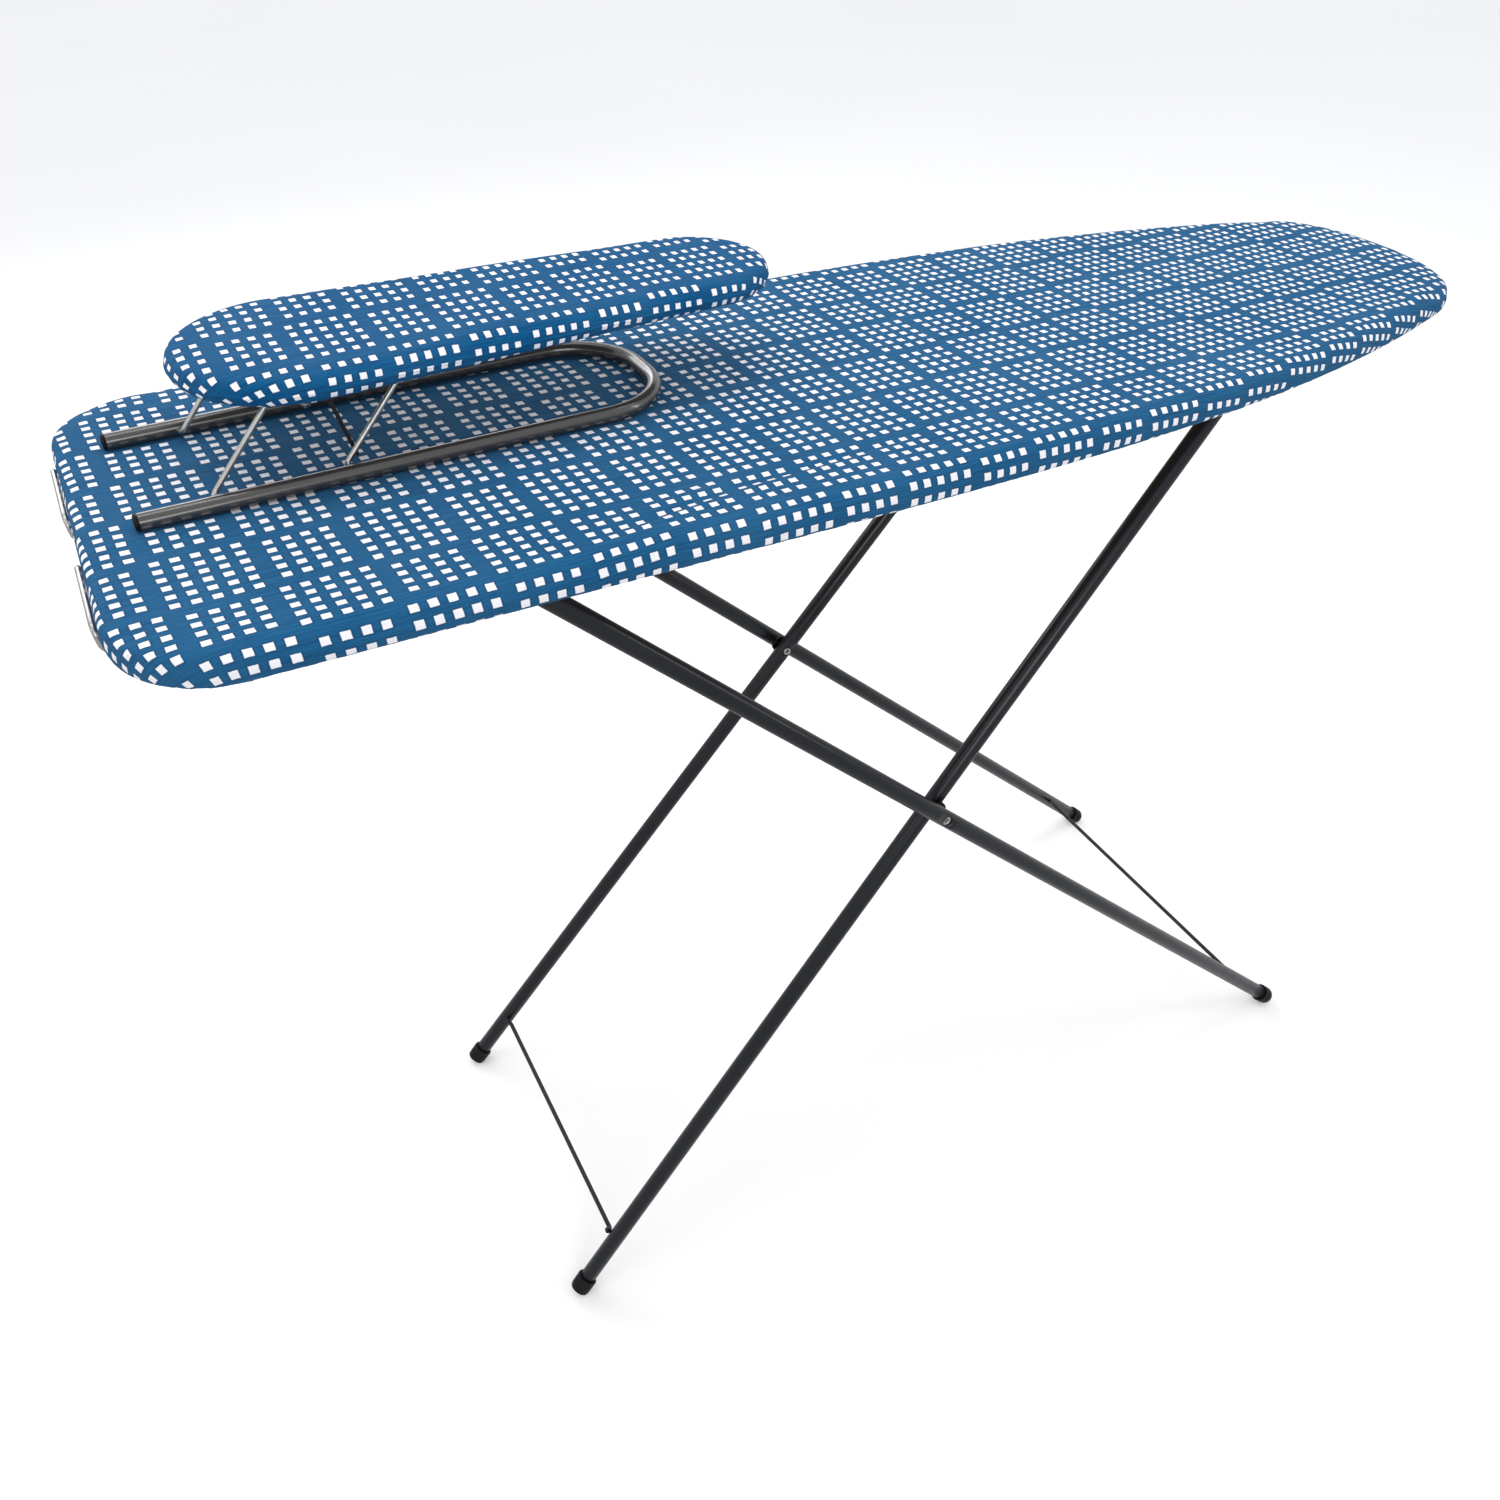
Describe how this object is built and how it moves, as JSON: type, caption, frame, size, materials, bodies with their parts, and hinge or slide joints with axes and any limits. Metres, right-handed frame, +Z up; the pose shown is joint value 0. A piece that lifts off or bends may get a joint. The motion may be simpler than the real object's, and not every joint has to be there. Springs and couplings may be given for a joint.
{
  "type": "ironing board with sleeve board",
  "caption": "Folding ironing board on crossed tube legs, with a patterned padded cover, a pull-out wire iron rest and a folding sleeve board standing on its heel end.",
  "frame": {"origin": "floor level, at the centre of the overall box: halfway along the board and on its centre line", "axes": "+X along the board from the square heel to the nose, +Y across it away from the camera side, +Z up"},
  "size_m": [1.2048, 0.404, 0.9425],
  "materials": {
    "board_cover_cloth": "blue woven cotton with a white plaid-like print of small squares",
    "sleeve_cover_cloth": "the same printed cotton in a brighter blue",
    "felt_padding": "off-white felt",
    "chipboard": "raw fine chipboard",
    "leg_paint": "satin anthracite powder coat",
    "frame_paint": "glossy dark grey enamel",
    "black_wire": "black coated wire",
    "bright_zinc": "bright zinc plate",
    "black_plastic": "moulded black plastic"
  },
  "bodies": {
    "board": {"board_core": "chipboard", "board_pad": "felt_padding", "board_cover": "board_cover_cloth", "leg_hinge_bracket_near": "bright_zinc", "leg_hinge_bracket_far": "bright_zinc", "height_rack": "bright_zinc", "hinge_screw_1": "bright_zinc", "hinge_screw_2": "bright_zinc", "hinge_screw_3": "bright_zinc", "hinge_screw_4": "bright_zinc", "rack_screw_5": "bright_zinc", "rack_screw_6": "bright_zinc", "rack_screw_7": "bright_zinc", "height_bar_keeper": "bright_zinc", "rest_guide_near_1": "bright_zinc", "rest_guide_near_2": "bright_zinc", "rest_guide_far_1": "bright_zinc", "rest_guide_far_2": "bright_zinc", "rest_guide_middle": "bright_zinc"},
    "iron_rest": {"iron_rest_wire": "bright_zinc"},
    "inner_legs": {"inner_leg_near": "leg_paint", "inner_leg_far": "leg_paint", "inner_foot_cap_near": "black_plastic", "inner_foot_cap_far": "black_plastic", "leg_hinge_bar": "leg_paint", "inner_stretcher_wire": "black_wire", "crossing_rivet_near": "bright_zinc", "crossing_rivet_far": "bright_zinc", "crossing_spacer_near": "black_plastic", "crossing_spacer_far": "black_plastic"},
    "outer_legs": {"outer_leg_near": "leg_paint", "outer_leg_far": "leg_paint", "outer_foot_cap_near": "black_plastic", "outer_foot_cap_far": "black_plastic", "height_bar": "leg_paint", "outer_stretcher_wire": "black_wire"},
    "sleeve_frame": {"sleeve_frame_tube": "frame_paint", "sleeve_frame_plug_near": "black_plastic", "sleeve_frame_plug_far": "black_plastic"},
    "heel_link": {"sleeve_link_heel": "bright_zinc"},
    "nose_link": {"sleeve_link_nose": "bright_zinc"},
    "sleeve_board": {"sleeve_board_core": "chipboard", "sleeve_board_pad": "felt_padding", "sleeve_board_cover": "sleeve_cover_cloth", "heel_link_saddle_near": "bright_zinc", "heel_link_saddle_far": "bright_zinc", "nose_link_saddle_near": "bright_zinc", "nose_link_saddle_far": "bright_zinc", "brace_clip_near": "bright_zinc", "brace_clip_far": "bright_zinc"},
    "sleeve_brace": {"sleeve_brace_wire": "black_wire"}
  },
  "joints": [
    {"name": "leg_fold", "type": "hinge", "parent": "board", "child": "inner_legs", "pos_m": [0.2911, 0, 0.8097], "axis": [0, 1, 0], "range_deg": [0, 45]},
    {"name": "leg_crossing", "type": "hinge", "parent": "inner_legs", "child": "outer_legs", "pos_m": [0.01893, 0, 0.48046], "axis": [0, 1, 0], "range_deg": [-85, 0]},
    {"name": "iron_rest_slide", "type": "slide", "parent": "board", "child": "iron_rest", "axis": [-1, 0, 0], "range_m": [0, 0.13]},
    {"name": "sleeve_lift_off", "type": "slide", "parent": "board", "child": "sleeve_frame", "axis": [0, 0, 1], "range_m": [0, 0.25]},
    {"name": "sleeve_fold", "type": "hinge", "parent": "sleeve_frame", "child": "heel_link", "pos_m": [-0.50882, 0.0369, 0.8643], "axis": [-0.0279, 0.9996, 0], "range_deg": [0, 45.5]},
    {"name": "nose_link_turn", "type": "hinge", "parent": "sleeve_frame", "child": "nose_link", "pos_m": [-0.41885, 0.03941, 0.8643], "axis": [-0.0279, 0.9996, 0], "range_deg": [0, 46.5]},
    {"name": "sleeve_board_level", "type": "hinge", "parent": "heel_link", "child": "sleeve_board", "pos_m": [-0.45884, 0.03829, 0.9223], "axis": [-0.0279, 0.9996, 0], "range_deg": [-46.5, 0]},
    {"name": "brace_swing", "type": "hinge", "parent": "sleeve_board", "child": "sleeve_brace", "pos_m": [-0.42185, 0.03933, 0.92], "axis": [-0.0279, 0.9996, 0], "range_deg": [-74, 0]}
  ],
  "couplings": [
    {"joint": "leg_crossing", "follows": "leg_fold", "ratio": -1.8588},
    {"joint": "nose_link_turn", "follows": "sleeve_fold", "ratio": 1},
    {"joint": "sleeve_board_level", "follows": "sleeve_fold", "ratio": -1},
    {"joint": "brace_swing", "follows": "sleeve_fold", "ratio": -1.6}
  ]
}
